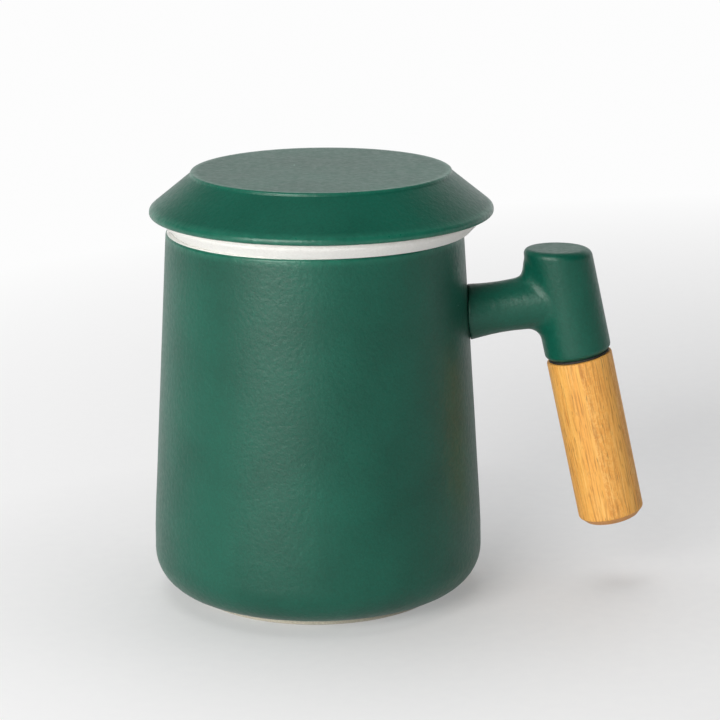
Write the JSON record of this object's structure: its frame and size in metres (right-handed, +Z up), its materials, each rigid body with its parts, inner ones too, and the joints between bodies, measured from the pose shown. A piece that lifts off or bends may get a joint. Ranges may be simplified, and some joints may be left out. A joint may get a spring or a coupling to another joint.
{
  "type": "lidded tea mug with infuser",
  "caption": "Ceramic tea mug with a straight wooden grip on a T-shaped arm, a lift-out perforated infuser with a white flared rim, and a loose stepped conical lid.",
  "frame": {"origin": "on the mug's axis, on the plane the foot ring stands on", "axes": "+Z up along the mug's axis, +X from the mug towards the grip"},
  "size_m": [0.1349, 0.0926, 0.1168],
  "materials": {
    "mug_glaze": "satin-matt green glaze, white glazed inside, bare foot ring",
    "arm_glaze": "satin-matt green glaze",
    "insert_brass": "turned",
    "stud_steel": "zinc plated",
    "washer_dark": "matt",
    "grip_wood": "oiled beech",
    "infuser_white": "white glaze, bare granular rim",
    "lid_glaze": "satin-matt green glaze"
  },
  "bodies": {
    "mug": {"mug_body": "mug_glaze", "handle_arm": "arm_glaze", "threaded_insert": "insert_brass", "handle_stud": "stud_steel", "washer": "washer_dark", "wood_grip": "grip_wood"},
    "infuser_basket": {"infuser": "infuser_white"},
    "lid_cover": {"lid": "lid_glaze"}
  },
  "joints": [
    {"name": "infuser_lift", "type": "slide", "parent": "mug", "child": "infuser_basket", "axis": [0, 0, 1], "range_m": [0, 0.08]},
    {"name": "lid_lift", "type": "slide", "parent": "infuser_basket", "child": "lid_cover", "axis": [0, 0, 1], "range_m": [0, 0.04]}
  ]
}
